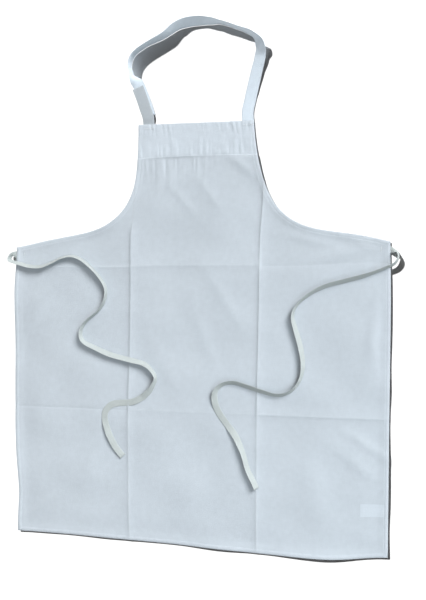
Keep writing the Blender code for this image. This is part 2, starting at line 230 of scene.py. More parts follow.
def cloth_material(name, colour, double, pitch=0.0006, bump=0.00006, sheen=0.15):
    """Woven cotton: the weave group feeds a Principled shader with a little sheen."""
    material = bpy.data.materials.new(name)
    material.use_nodes = True
    tree = material.node_tree
    shader = tree.nodes["Principled BSDF"]
    pattern = tree.nodes.new("ShaderNodeUVMap")
    pattern.uv_map = "flat"
    weave = tree.nodes.new("ShaderNodeGroup")
    weave.node_tree = WEAVE
    tree.links.new(pattern.outputs[0], weave.inputs["Pattern"])
    for socket, value in (("Colour", colour), ("Double Colour", double), ("Dark Edge And Crease Shade Colour", DARK_EDGE_AND_CREASE_SHADE)):
        weave.inputs[socket].default_value = (*value, 1)
    for socket, value in (("Thread Pitch", pitch), ("Mottle", MOTTLE), ("Slub", SLUB)):
        weave.inputs[socket].default_value = value
    relief = tree.nodes.new("ShaderNodeBump")
    relief.inputs["Distance"].default_value = bump
    relief.inputs["Strength"].default_value = 1.0
    tree.links.new(weave.outputs["Height"], relief.inputs["Height"])
    tree.links.new(weave.outputs["Colour"], shader.inputs["Base Color"])
    tree.links.new(weave.outputs["Roughness"], shader.inputs["Roughness"])
    tree.links.new(relief.outputs[0], shader.inputs["Normal"])
    shader.inputs["Sheen Weight"].default_value = sheen
    shader.inputs["Sheen Roughness"].default_value = 0.5
    shader.inputs["Specular IOR Level"].default_value = 0.2
    return material


PANEL_COTTON = cloth_material("panel_cotton", (0.550, 0.598, 0.642), (0.620, 0.675, 0.727))
BAND_COTTON = cloth_material("band_cotton", (0.60, 0.65, 0.69), (0.64, 0.71, 0.76))
HEM_COTTON = cloth_material("hem_cotton", (0.60, 0.67, 0.72), (0.64, 0.71, 0.76))
# The strap's cotton is painted lighter than the panel's: white cotton with painted light, as where the strap
# faces the key.
STRAP_COTTON_PAINTED_LIGHT = cloth_material("strap_cotton", (0.72, 0.80, 0.87), (0.74, 0.81, 0.88))
# The tab's cotton is painted grey: the same white cotton with painted shade, as where the tab tilts away from
# the key.
TAB_COTTON_PAINTED_SHADE = cloth_material("tab_cotton", (0.47, 0.51, 0.54), (0.56, 0.60, 0.63))
TIE_TAPE = cloth_material(
    "tie_tape", (0.50, 0.54, 0.53), (0.55, 0.595, 0.585), pitch=0.0009, bump=0.0001, sheen=0.1
)
LABEL_SATIN = cloth_material(
    "label_satin", (0.74, 0.78, 0.82), (0.76, 0.80, 0.84), pitch=0.0004, bump=0.00003, sheen=0.3
)
THREAD = cloth_material("thread", (0.74, 0.78, 0.81), (0.76, 0.8, 0.83), pitch=0.0005, bump=0.0001)

table_paint = bpy.data.materials.new("table_paint")
table_paint.use_nodes = True
tree = table_paint.node_tree
shader = tree.nodes["Principled BSDF"]
grain = noise_node(tree, tree.nodes.new("ShaderNodeTexCoord").outputs["Object"], 3, 3)
table_tone = mix_colour(tree, grain, (0.93, 0.93, 0.93, 1), (0.95, 0.95, 0.95, 1))
tree.links.new(table_tone, shader.inputs["Base Color"])
shader.inputs["Roughness"].default_value = 0.9
floor.data.materials.append(table_paint)

# %% [markdown]
# ## How the cloth lies
# The flat pattern is symmetric, but laid cloth isn't: a hand has tugged it here and there. Each
# pull below is a place on the pattern, how far its effect reaches, and how far it moves the
# cloth, all in millimetres. They are added up with a soft bell curve, so there are no kinks.

# %% Pulls in the plane of the table
PULLS = (
    # across, up, reach, then the move across and up
    (-380, 0, 80, 0, 4),
    (-235, 0, 80, -2, 3),
    (-80, 0, 90, -3, 1),
    (60, 0, 90, -1, -1),
    (200, 0, 90, -1, -5),
    (310, 0, 60, 0, -5),
    (380, 0, 60, 0, 8),
    (-130, 100, 130, -6, 0),
    (-130, 260, 110, -6, -1),
    (130, 60, 110, 1, -2),
    (130, 560, 150, 5, 1),
    (-130, 480, 150, -3, 1),
    (0, 842, 110, 6, 0),
    (0, 720, 70, 2, 0),
    (-170, 660, 50, -7, -12),
    (170, 690, 50, 6, -4),
    (-380, 590, 35, 5, -1),
    (-225, 630, 50, 0, -3),
    (330, 610, 60, -3, 9),
    (-380, 240, 60, -2, 0),
    (-380, 90, 40, 4, 1),
    (230, 640, 50, -5, -1),
    (-130, 700, 50, 8, -8),
    (130, 740, 50, 4, 0),
)


def pulled(flat):
    """Where points of the flat pattern lie on the table, before any height."""
    moved = flat.copy()
    for x, y, reach, across, up in PULLS:
        away = ((flat - (x * MM, y * MM)) ** 2).sum(1)
        share = np.exp(-away / (2 * (reach * MM) ** 2))
        moved += share[:, None] * (across * MM, up * MM)
    return moved


# %% The outline of the pattern
ARMHOLE_STEPS = 64


def armhole_point(t):
    """A point on the right armhole, from the bib corner at 0 to the waist corner at 1."""
    corners = (
        (BIB_HALF, BIB_TOP),
        (BIB_HALF + 0.005, BIB_TOP - 0.162),
        (HALF_WIDTH - 0.240, WAIST + 0.039),
        (HALF_WIDTH, WAIST),
    )
    shares = ((1 - t) ** 3, 3 * t * (1 - t) ** 2, 3 * t**2 * (1 - t), t**3)
    return np.array([sum(s * c[axis] for s, c in zip(shares, corners)) for axis in (0, 1)])


def armhole_inwards(t, distance):
    """A point inside the armhole edge, square to it."""
    ahead = armhole_point(min(t + 0.002, 1.0)) - armhole_point(max(t - 0.002, 0.0))
    ahead /= np.linalg.norm(ahead)
    return armhole_point(t) + np.array((ahead[1], -ahead[0])) * distance


def armhole_at_height(y):
    low, high = 0.0, 1.0
    for _ in range(40):
        middle = (low + high) / 2
        low, high = (middle, high) if armhole_point(middle)[1] > y else (low, middle)
    return low


def mirrored(points, side):
    return [(side * x, y) for x, y in points]


# The first points after the bib corner are left out: the hem lines are wider there than their spacing.
right_armhole = [tuple(armhole_point(step / ARMHOLE_STEPS)) for step in (0, *range(3, ARMHOLE_STEPS + 1))]
OUTLINE = [(-HALF_WIDTH, 0.0), (HALF_WIDTH, 0.0), *reversed(right_armhole), *mirrored(right_armhole, -1)]
print("outline points:", len(OUTLINE))


def from_edge(flat):
    """How far points of the pattern are from its nearest edge."""
    nearest = np.full(len(flat), 9.0)
    for start, end in zip(OUTLINE, OUTLINE[1:] + OUTLINE[:1]):
        start, run = np.array(start), np.subtract(end, start)
        share = np.clip(((flat - start) @ run) / (run @ run), 0, 1)
        nearest = np.minimum(nearest, np.linalg.norm(flat - start - share[:, None] * run, axis=1))
    return nearest


# %% [markdown]
# Heights come next. Cotton that was packed folded keeps its creases: two along the length and two
# across. Some stand up as ridges and some lie as valleys, and each side of a crease relaxes over
# its own distance. The hems are thick, so the cloth steps down inside them, and a stitched line
# sinks into a small groove. Gathers run down from the top edge and from the band seam, and a few
# long soft ridges show where the cloth was tugged.

# %% Height of the cloth
CREASE_X = 0.127
UPPER_CREASE = 0.561
STITCH_IN = 7.5 * MM
SOFT_RIDGES = (
    # across, up, half length, half width, angle in degrees, height; in millimetres
    (98, 756, 34, 9, -38, 0.7),
    (54, 798, 18, 6, 75, 0.35),
    (10, 800, 20, 7, 60, 0.35),
    (-40, 800, 20, 7, 110, 0.3),
    (85, 805, 18, 6, 60, 0.4),
    (-70, 745, 30, 6, 85, 0.3),
    (-45, 735, 34, 7, 80, 0.35),
    (-20, 690, 40, 9, -50, 0.4),
    (35, 700, 38, 9, -55, 0.4),
    (225, 612, 50, 11, -14, 0.7),
    (290, 585, 55, 12, 14, 0.8),
    (325, 604, 36, 9, -24, 0.5),
    (350, 440, 75, 13, 84, 1.1),
    (352, 390, 50, 10, 96, 0.5),
    (345, 215, 60, 9, -32, 0.7),
    (320, 180, 50, 10, -38, 0.5),
    (-330, 500, 60, 12, 40, 0.6),
    (-345, 445, 50, 10, 55, 0.4),
    (-300, 350, 80, 22, 70, 0.6),
    (60, 500, 70, 12, -58, 0.5),
    (20, 420, 80, 16, -70, 0.5),
    (-60, 360, 80, 18, -60, 0.5),
    (-330, 60, 45, 10, 35, 0.5),
    (-220, 150, 90, 24, 80, 0.6),
    (0, 130, 90, 24, 70, 0.6),
    (240, 120, 90, 24, 100, 0.6),
)


def bell(value, width):
    return np.exp(-((value / width) ** 2))


def ease(value):
    value = np.clip(value, 0, 1)
    return value * value * (3 - 2 * value)


def crease(across, depth, before, after):
    """A crease's height: depth is downwards, and each side relaxes over its own distance."""
    width = np.where(across < 0, before, after)
    soft = np.sqrt(across**2 + (0.5 * MM) ** 2)
    return -depth * np.exp(-soft / width)


def length_creases(x, y):
    top_left = ease((0.668 - y) / 0.03)
    top_right = ease((SEAM - 0.01 - y) / 0.03)
    lower = ease((0.300 - y) / 0.06)
    height = 0
    for side, start in ((-1, top_left), (1, top_right)):
        away = x - side * CREASE_X
        firm = crease(away, -2.3 * MM, 3.0 * MM, 8 * MM)
        slack = crease(away, -1.8 * MM, 6 * MM, 8 * MM)
        height = height + start * (firm * (1 - lower) + slack * lower)
    return height


def cross_creases(x, y):
    left, right = ease((-CREASE_X - x) / 0.012 + 0.5), ease((x - CREASE_X) / 0.012 + 0.5)
    centre = 1 - left - right
    away = y - UPPER_CREASE
    upper = (
        left * crease(away, -1.2 * MM, 9 * MM, 4 * MM)
        + centre * crease(away, -1.4 * MM, 8 * MM, 26 * MM)
        + right * crease(away, 1.1 * MM, 9 * MM, 22 * MM)
    )
    away = y - FOLD
    lower = (
        left * crease(away, 0.7 * MM, 4 * MM, 4 * MM)
        + centre * crease(away, -0.55 * MM, 7 * MM, 14 * MM)
        + right * crease(away, -1.4 * MM, 4.5 * MM, 13 * MM)
    )
    return upper + lower


def gathers(x, y):
    """Short uneven puckers below the top edge and on both sides of the band seam."""
    wander = 2.4 * MM * np.sin(x * 133) + 1.7 * MM * np.sin(x * 311 + 1)
    uneven = 0.55 + 0.25 * np.sin(x * 83 + 1) + 0.2 * np.sin(x * 193 + y * 60)
    turn = (x + wander + 0.14 * (y - BIB_TOP)) * 2 * math.pi / (9.8 * MM)
    top = bell(BIB_TOP - y, 19 * MM) * uneven * (np.sin(turn) + 0.35 * np.sin(2 * turn + 0.8))
    below = ease((SEAM - y) / 0.006) * bell(SEAM - y, 30 * MM) * ease(1.3 - (x + 0.115) / 0.17)
    below = below * uneven * np.sin((x + wander * 1.8) * 2 * math.pi / (15.5 * MM))
    above = ease((y - SEAM) / 0.006) * bell(y - SEAM, 24 * MM) * uneven
    above = above * np.sin((x - wander * 1.5) * 2 * math.pi / (12.5 * MM))
    slant = (x + 0.35 * (y - BIB_TOP) - wander) * 2 * math.pi / (6.7 * MM)
    nicks = bell(BIB_TOP - y, 11 * MM) * uneven * np.maximum(np.sin(slant), 0) ** 2
    return (top - 0.7 * nicks + 1.15 * below + above) * MM


def soft_ridges(laid):
    height = 0
    for x, y, half_length, half_width, angle, top in SOFT_RIDGES:
        turn = math.radians(angle)
        away = laid - (x * MM, y * MM)
        along = away @ (math.cos(turn), math.sin(turn))
        aside = away @ (-math.sin(turn), math.cos(turn))
        height = height + 2.3 * top * MM * bell(along, half_length * MM) * bell(aside, half_width * MM)
    return height


def slow_waves(laid):
    """A few long seeded waves, as cloth that has never been ironed quite flat."""
    draw = np.random.default_rng(7)
    height = 0
    for _ in range(16):
        turn, length, phase = draw.uniform(0, math.pi), draw.uniform(0.07, 0.21), draw.uniform(0, 6.3)
        along = laid @ (math.cos(turn), math.sin(turn))
        height = height + 0.36 * MM * length / 0.21 * np.sin(along * 2 * math.pi / length + phase)
    return height


def plateau(value, low, high, soft):
    return ease((value - low) / soft + 0.5) * ease((high - value) / soft + 0.5)


def relief(flat):
    """Height of the middle of the cloth over the table, for points of the flat pattern."""
    laid = pulled(flat)
    x, y = flat[:, 0], flat[:, 1]
    edge = from_edge(flat)
    in_band = ease((y - SEAM) / (1.2 * MM) + 0.5)
    dip = ease((edge - 8.3 * MM) / (5 * MM)) * ease((SEAM - y) / (40 * MM))
    rise = ease((edge - 12 * MM) / (45 * MM)) * ease((SEAM - y) / (50 * MM))
    height = PANEL_MIDDLE - 0.6 * MM * dip + 1.9 * MM * rise
    height = height - 0.6 * MM * np.clip(1 - edge / (0.7 * MM), 0, 1) ** 2
    height = height - 0.28 * MM * bell(edge - STITCH_IN, 0.8 * MM) * (1 - in_band)
    height = height + 0.3 * MM * in_band - 0.22 * MM * bell(y - SEAM - 1.5 * MM, 0.9 * MM)
    for middle, drop in ((104.6 * MM, 52 * MM), (-93.7 * MM, 30 * MM)):
        height = height + 0.34 * MM * plateau(x, middle - 11.5 * MM, middle + 11.5 * MM, 1.6 * MM) * ease(
            (y - BIB_TOP + drop) / (6 * MM)
        )
    settled = 1 - 0.55 * bell(y - FOLD, 0.03)
    height = height + (length_creases(x, y) + cross_creases(x, y)) * (0.35 + 0.65 * ease(edge / (14 * MM)))
    height = height + gathers(x, y) + soft_ridges(laid) + slow_waves(laid) * (1 - 0.5 * in_band) * settled
    # The hemmed edges curl off the table in slow waves, most at the right and at the bottom.
    lift = (
        2.1
        + 0.9 * ease((laid[:, 0] - 0.1) / 0.2)
        + 0.9 * ease((0.2 - laid[:, 1]) / 0.2)
        + 1.1 * np.sin(laid[:, 0] * 29 + 0.7)
        + 0.9 * np.sin(laid[:, 1] * 23 + laid[:, 0] * 9)
    )
    height = height + lift * MM * np.exp(-edge / (20 * MM)) * (1 - in_band) * settled
    over_layers = np.maximum(in_band, ease((10.5 * MM - edge) / (1 * MM) + 0.5))
    return np.maximum(height, 0.75 * MM + 1.05 * MM * over_layers)


# %% Lay a flat piece on the table
def lay(bm, lift=0.0, lowest=0.0):
    """Writes the flat pattern into the UV map, then moves every point to where the cloth lies."""
    write_pattern(bm, lambda vert: vert.co.xy)
    flat = np.array([vert.co for vert in bm.verts])
    places = pulled(flat[:, :2])
    heights = np.maximum(relief(flat[:, :2]) + flat[:, 2] + lift, lowest)
    for vert, place, height in zip(bm.verts, places, heights):
        vert.co = (place[0], place[1] + BOTTOM, height)


def finish_piece(name, bm, material):
    """The object of a piece: its place is in its mesh, and every face is smooth."""
    mesh = bpy.data.meshes.new(name)
    bm.to_mesh(mesh)
    bm.free()
    mesh.materials.append(material)
    for polygon in mesh.polygons:
        polygon.use_smooth = True
    obj = bpy.data.objects.new(name, mesh)
    bpy.context.scene.collection.objects.link(obj)
    return obj


def thicken(obj, thickness, offset=0.0):
    modifier = obj.modifiers.new("thickness", "SOLIDIFY")
    modifier.thickness = thickness
    modifier.offset = offset
    return obj


# %% [markdown]
# ## Waist ties
# Each tie is a flat woven tape that comes out from under its waist corner, bows past the side edge
# and wanders over the front, half on its edge. The tape is drawn as a thin ring that is extruded
# from place to place along its route. The route's points are inwards from the side edge, up from
# the waist corner, lean in degrees and, where it isn't TIE_LOW, height of the lower edge.

# %% Routes of the ties
TIE_WIDTH = 13 * MM
TIE_THICK = 0.8 * MM
TIE_LOW = 2.7 * MM
SEWN_TIE = ((0.0245, -0.0149), (0.0165, -0.0149), (0.0085, -0.0149), (-0.0012, -0.0149))
LEFT_TIE_ROUTE = (
    (-0.0045, -0.0150, 35, 0.0005),
    (-0.0080, -0.0165, 75, 0.0006),
    (-0.0100, -0.0210, 75, 0.0016),
    (-0.0080, -0.0280, 70),
    (0.013, -0.034, 62),
    (0.038, -0.040, 60),
    (0.062, -0.040, 60),
    (0.084, -0.032, 62),
    (0.104, -0.023, 66),
    (0.126, -0.019, 70),
    (0.146, -0.025, 74),
    (0.167, -0.041, 78),
    (0.185, -0.060, 80),
    (0.198, -0.080, 80),
    (0.200, -0.097, 80),
    (0.195, -0.114, 80),
    (0.183, -0.131, 80),
    (0.164, -0.146, 78),
    (0.150, -0.161, 76),
    (0.145, -0.178, 74),
    (0.151, -0.193, 66),
    (0.172, -0.204, 58),
    (0.209, -0.219, 50),
    (0.252, -0.229, 48),
    (0.277, -0.235, 55),
    (0.293, -0.246, 70),
    (0.303, -0.262, 74),
    (0.298, -0.278, 58),
    (0.286, -0.294, 30),
    (0.269, -0.307, 8),
    (0.250, -0.315, 0),
    (0.228, -0.317, 0),
    (0.208, -0.322, 0),
    (0.196, -0.335, 0),
    (0.194, -0.350, 0),
    (0.198, -0.366, 15),
    (0.205, -0.386, 20),
    (0.217, -0.409, 15),
    (0.232, -0.427, 10),
)
RIGHT_TIE_ROUTE = (
    (-0.0045, -0.0150, 35, 0.0005),
    (-0.0100, -0.0150, 75, 0.0005),
    (-0.0140, -0.0190, 75, 0.0010),
    (-0.0135, -0.0270, 72, 0.0020),
    (-0.0060, -0.0360, 65),
    (0.010, -0.043, 66),
    (0.032, -0.052, 62),
    (0.056, -0.060, 52),
    (0.087, -0.068, 50),
    (0.122, -0.078, 52),
    (0.152, -0.094, 62),
    (0.175, -0.115, 72),
    (0.183, -0.136, 66),
    (0.178, -0.159, 50),
    (0.169, -0.190, 44),
    (0.163, -0.223, 50),
    (0.165, -0.250, 62),
    (0.176, -0.272, 66),
    (0.194, -0.286, 58),
    (0.217, -0.290, 50),
    (0.248, -0.282, 42),
    (0.272, -0.275, 42),
    (0.298, -0.268, 48),
    (0.320, -0.272, 52),
    (0.334, -0.285, 45),
    (0.337, -0.303, 15),
    (0.331, -0.325, 0),
    (0.314, -0.350, 0),
    (0.296, -0.373, 20),
    (0.280, -0.406, 50),
    (0.270, -0.439, 52),
    (0.259, -0.461, 48),
    (0.252, -0.476, 46),
)


# %% Smooth routes and tapes
def steps_between(points):
    return np.linalg.norm(np.diff(points, axis=0), axis=1)


def run_along(points):
    """How far along their line the points are, starting from 0."""
    return np.concatenate([[0], np.cumsum(steps_between(points))])


def write_pattern(bm, place):
    """Keeps each point's place on the flat pattern in the UV map that the weave reads."""
    pattern = bm.loops.layers.uv.new("flat")
    for face in bm.faces:
        for loop in face.loops:
            loop[pattern].uv = place(loop.vert)


def smooth_route(points, spacing):
    """Even steps along the smooth curve through the points: x, y, height of the lower edge, lean."""
    ends = [points[0], *points, points[-1]]
    fine = []
    for before, start, end, after in zip(ends, ends[1:], ends[2:], ends[3:]):
        for step in range(12):
            t = step / 12
            curve = (
                2 * start
                + (end - before) * t
                + (2 * before - 5 * start + 4 * end - after) * t**2
                + (3 * start - before - 3 * end + after) * t**3
            ) / 2
            eased = start.lerp(end, t * t * (3 - 2 * t))
            fine.append((curve.x, curve.y, eased.z, eased.w))
    fine = np.array([*fine, tuple(points[-1])])
    run = run_along(fine[:, :3])
    even = np.linspace(0, run[-1], round(run[-1] / spacing) + 1)
    return np.stack([np.interp(even, run, fine[:, axis]) for axis in range(4)], axis=1)


def tape_middles(steps, width, thick):
    """The middle line of a tape and the directions across it and through it, at each step."""
    ahead = np.gradient(steps[:, :2], axis=0)
    ahead /= np.linalg.norm(ahead, axis=1)[:, None]
    lean = np.radians(steps[:, 3])
    aside = np.stack([ahead[:, 1], -ahead[:, 0], 0 * lean], axis=1)
    up = np.array((0, 0, 1.0))
    across = aside * np.cos(lean)[:, None] + up * np.sin(lean)[:, None]
    through = up * np.cos(lean)[:, None] - aside * np.sin(lean)[:, None]
    rise = width / 2 * np.sin(lean) + thick / 2 * np.cos(lean)
    middles = steps[:, :3] + up * rise[:, None]
    return middles, across, through


def tape_mesh(steps, width, thick, swell, sides=16):
    """A tape as a bmesh: one thin rounded ring, extruded from step to step and closed at both ends.
    swell gives how much thicker it is at each step, as where its end is turned over."""
    middles, across, through = tape_middles(steps, width, thick)
    run = run_along(middles)
    bm = bmesh.new()
    wide = bm.verts.layers.float.new("wide")
    deep = bm.verts.layers.float.new("deep")
    along = bm.verts.layers.float.new("along")
    dark_edge_and_crease_shade = bm.verts.layers.float.new("dark_edge_and_crease_shade")
    ring = bmesh.ops.create_circle(bm, segments=sides, radius=1)["verts"]
    for vert in ring:
        cos, sin = vert.co.xy
        vert[wide] = width / 2 * math.copysign(abs(cos) ** 0.4, cos)
        vert[deep] = thick / 2 * math.copysign(abs(sin) ** 0.7, sin)
        # Darker along the tape's two long edges.
        vert[dark_edge_and_crease_shade] = 0.35 * abs(cos) ** 6

    def place(verts, step):
        for vert in verts:
            vert.co = middles[step] + across[step] * vert[wide] + through[step] * vert[deep] * swell[step]
            vert[along] = run[step]

    place(ring, 0)
    edges = list(bm.edges)
    bm.faces.new(ring)
    for step in range(1, len(steps)):
        made = bmesh.ops.extrude_edge_only(bm, edges=edges)["geom"]
        place([item for item in made if isinstance(item, bmesh.types.BMVert)], step)
        edges = [item for item in made if isinstance(item, bmesh.types.BMEdge)]
    bmesh.ops.contextual_create(bm, geom=edges)
    write_pattern(bm, lambda vert: (vert[wide], vert[along]))
    bmesh.ops.recalc_face_normals(bm, faces=bm.faces)
    return bm, middles


def follow_pulls(steps, root, reach):
    """Moves the sewn start of a tape with the cloth that it is sewn to, and lets go over its reach."""
    run = run_along(steps[:, :2])
    shift = pulled(np.array([root])) - root
    steps[:, :2] += shift * (1 - ease(run / reach))[:, None]


def under_cloth(x, y):
    """The height of the lower edge of a flat tape that is sewn behind the cloth."""
    return relief(np.array([(x, y)]))[0] - 1.45 * MM


def rest_on_cloth(steps, clearance):
    """Lets a tape that the CAD holds level sink onto the cloth below it, over small valleys."""
    flat = steps[:, :2]
    under = relief(flat) + CLOTH / 2
    reach = 2
    padded = np.pad(under, reach, mode="edge")
    under = np.max([padded[shift : shift + len(under)] for shift in range(2 * reach + 1)], axis=0)
    kernel = np.array((1, 2, 3, 2, 1)) / 9
    under = np.convolve(np.pad(under, reach, mode="edge"), kernel, mode="valid")
    run = run_along(flat)
    held = ease((steps[:, 2] - 0.0010) / (TIE_LOW - 0.0010)) * ease((run - 0.034) / 0.012)
    rested = steps.copy()
    rested[:, 2] = steps[:, 2] * (1 - held) + (under + clearance) * held
    return rested


def make_tie(word, side, route):
    edge = side * HALF_WIDTH
    sewn = [(edge - side * inwards, WAIST + up) for inwards, up in SEWN_TIE]
    points = [Vector((x, y, under_cloth(x, y), 0)) for x, y in sewn]
    for inwards, up, lean, *low in route:
        points.append(Vector((edge - side * inwards, WAIST + up, low[0] if low else TIE_LOW, lean)))
    steps = rest_on_cloth(smooth_route(points, 3.2 * MM), 0.15 * MM)
    follow_pulls(steps, sewn[0], 0.07)
    swell = np.ones(len(steps))
    swell[-4:] = 1.7
    steps[:, 1] += BOTTOM
    bm, middles = tape_mesh(steps, TIE_WIDTH, TIE_THICK, swell)
    tie = finish_piece(f"waist_tie_{word}_tape", bm, TIE_TAPE)
    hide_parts(*(f"waist_tie_{word}{end}" for end in ("", "_lower", "_sewn_end")))
    length = steps_between(middles).sum()
    fold_over(tie)
    print(f"{tie.name}: {length:.3f} m")
    return tie


# %% [markdown]
# fold_over and turn_over bake each piece's transform into its mesh; they don't make it follow the
# folding third or the neck loop.


def fold_over(obj):
    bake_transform(obj)


def turn_over(obj):
    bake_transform(obj)


left_tie = make_tie("left", -1, LEFT_TIE_ROUTE)
right_tie = make_tie("right", 1, RIGHT_TIE_ROUTE)

# %% [markdown]
# ## The panel
# The panel is one cut of cloth. Its outline becomes one face, and the face is inset along the
# whole edge: a narrow rim for the turned edge, then lines on both sides of the hem stitching.
# Straight cuts across and along it give the cloth enough points to bend, close together where
# gathers and creases need them.

# %% Cut the flat panel


def cut_lines(bm, places, axis):
    """Cuts flat cloth along straight lines in order, looking only at the part that is still ahead."""
    normal = Vector((axis == 0, axis == 1, 0))
    ahead = list(bm.faces)
    for place in sorted(places):
        ahead = [face for face in ahead if max(v.co[axis] for v in face.verts) > place + 1e-5]
        crossed = [face for face in ahead if min(v.co[axis] for v in face.verts) < place - 1e-5]
        parts = {edge for face in crossed for edge in face.edges} | {
            vert for face in crossed for vert in face.verts
        }
        made = bmesh.ops.bisect_plane(
            bm, geom=[*crossed, *parts], dist=1e-5, plane_co=normal * place, plane_no=normal
        )["geom"]
        crossed = set(crossed)
        ahead = [face for face in ahead if face not in crossed]
        ahead += [item for item in made if isinstance(item, bmesh.types.BMFace)]


def around(middle, offsets):
    return [middle + side * offset * MM for side in (-1, 1) for offset in offsets] + [middle]


def even(low, high, pitch):
    return list(np.linspace(low, high, round((high - low) / pitch) + 1)[1:-1])


LABEL = (0.3277, 0.3697, 0.081, 0.106)
columns = even(-0.118, 0.118, 2.4 * MM) + [
    side * x for side in (-1, 1) for x in even(CREASE_X + 0.008, HALF_WIDTH - 0.010, 5.6 * MM)
]
columns += [x for side in (-1, 1) for x in around(side * CREASE_X, (0.4, 1.0, 2.0, 3.6, 6.0))]
columns += [LABEL[0] - 0.4 * MM, LABEL[0] + 0.4 * MM]
rows = even(0.010, FOLD - 0.010, 5.8 * MM) + even(FOLD + 0.010, UPPER_CREASE - 0.010, 5.8 * MM)
rows += even(UPPER_CREASE + 0.010, 0.655, 4.6 * MM) + even(0.655, SEAM - 0.003, 3.6 * MM)
rows += even(SEAM + 0.003, BIB_TOP, 3.0 * MM)
rows += around(FOLD, (1.0, 2.2, 3.6, 5.2, 7.5)) + around(UPPER_CREASE, (0.5, 1.4, 3.0, 5.5, 8.0))
rows += [SEAM - 0.6 * MM, SEAM, SEAM + 0.6 * MM, SEAM + 1.5 * MM, SEAM + 2.4 * MM]
rows += [WAIST - 21.7 * MM, WAIST - 7.9 * MM]
rows += [LABEL[2] - 0.4 * MM, LABEL[2] + 0.4 * MM, LABEL[3] - 0.4 * MM, LABEL[3] + 0.4 * MM]

bm = bmesh.new()
cut = bm.faces.new([bm.verts.new((x, y, 0)) for x, y in OUTLINE])
for width in (0.25, 0.45, 6.0, 0.8, 0.8, 1.7):
    bmesh.ops.inset_region(bm, faces=[cut], thickness=width * MM, use_boundary=True, use_even_offset=True)
cut_lines(bm, rows, 1)
cut_lines(bm, columns, 0)
bmesh.ops.remove_doubles(bm, verts=bm.verts, dist=2e-5)
print("panel faces:", len(bm.faces))

# %% [markdown]
# Cotton that lies double looks whiter, because less of the dark underneath shows through. Each
# point of the panel remembers how double it is: in the band, in the hems, over the label and over
# the sewn end of the neck strap. It also remembers where it is painted darker: a little at the cut
# edge, and along the firm creases as painted shade.

# %% Mark what is double, the darker edge and the painted crease shade, and lay the panel
flat = np.array([vert.co for vert in bm.verts])[:, :2]
edge = from_edge(flat)
x, y = flat[:, 0], flat[:, 1]
in_band = ease((y - SEAM) / (1.2 * MM) + 0.5)
in_hem = ease((8.6 * MM - edge) / (0.8 * MM) + 0.5) * 0.35
on_label = plateau(x, LABEL[0], 9.0, 0.8 * MM) * plateau(y, LABEL[2], LABEL[3], 0.8 * MM) * (edge > 8 * MM)
on_strap = plateau(x, 93.1 * MM, 116.1 * MM, 1.5 * MM) * ease((y - BIB_TOP + 0.052) / 0.006)
double = np.maximum.reduce([in_band * 0.9, in_hem, on_label * 0.9, in_band * on_strap])
# Darker within half a millimetre of the cut edge, and painted shade along the firm creases.
dark_edge_and_crease_shade = 0.5 * np.clip(1 - edge / (0.5 * MM), 0, 1) + 0.16 * bell(np.abs(x) - CREASE_X, 1.2 * MM) * (y < 0.77)
double_layer = bm.verts.layers.float.new("double")
darkening_layer = bm.verts.layers.float.new("dark_edge_and_crease_shade")
for vert, double_here, darkening_here in zip(bm.verts, double, dark_edge_and_crease_shade):
    vert[double_layer] = double_here
    vert[darkening_layer] = darkening_here
flat_cut = bm.copy()
lay(bm)
panel = thicken(finish_piece("apron_panel", bm, PANEL_COTTON), CLOTH)
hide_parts("main_panel", "main_panel_lower")
fold_over(panel)
heights = [vert.co.z for vert in panel.data.vertices]
print(f"panel heights {min(heights) * 1000:.2f} to {max(heights) * 1000:.2f} mm")

# %% [markdown]
# ## Hems and the top band
# A hem is the edge of the same cloth, turned to the back twice and stitched. It is made as its own
# thin slab, cropped from the same flat cut as the panel so that every point lies straight under
# the panel's own points, and rounded at its folds by a vertex group that thins the slab there.

# %% Hems behind the edges
FACE_CENTRES = np.array([face.calc_center_median() for face in flat_cut.faces])[:, :2]
FACE_EDGES = from_edge(FACE_CENTRES)


def crop(keep):
    """A copy of the flat cut with only the kept faces."""
    bm = flat_cut.copy()
    gone = [face for face, stays in zip(bm.faces, keep) if not stays]
    bmesh.ops.delete(bm, geom=gone, context="FACES")
    return bm


def turned_layer(name, keep, below, thickness, material, nodes):
    """A layer behind the panel, with rounded folds along its borders."""
    bm = crop(keep)
    weights = bm.verts.layers.deform.verify()
    for vert in bm.verts:
        vert[weights][0] = 0.0 if vert.is_boundary else 1.0
    lay(bm, -below, thickness / 2 + 0.02 * MM)
    piece = finish_piece(name, bm, material)
    piece.vertex_groups.new(name="full")
    thicken(piece, thickness)
    piece.modifiers["thickness"].vertex_group = "full"
    piece.modifiers["thickness"].thickness_vertex_group = 0.35
    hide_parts(*nodes)
    return piece


HEM_WIDTH = 10 * MM
ARMHOLE_HEM = 8.3 * MM
HEM_THICK = 1.4 * MM
cx, cy = FACE_CENTRES.T
behind_rim = FACE_EDGES > 0.25 * MM
wide_hem = behind_rim & (FACE_EDGES < HEM_WIDTH)
SIDE_HEM_TOP = WAIST - 21.6 * MM
ARMHOLE_HEM_LOW = WAIST - 7.9 * MM


def turned_hem(name, keep, nodes):
    return turned_layer(name, keep, 1.0 * MM, HEM_THICK, HEM_COTTON, nodes)


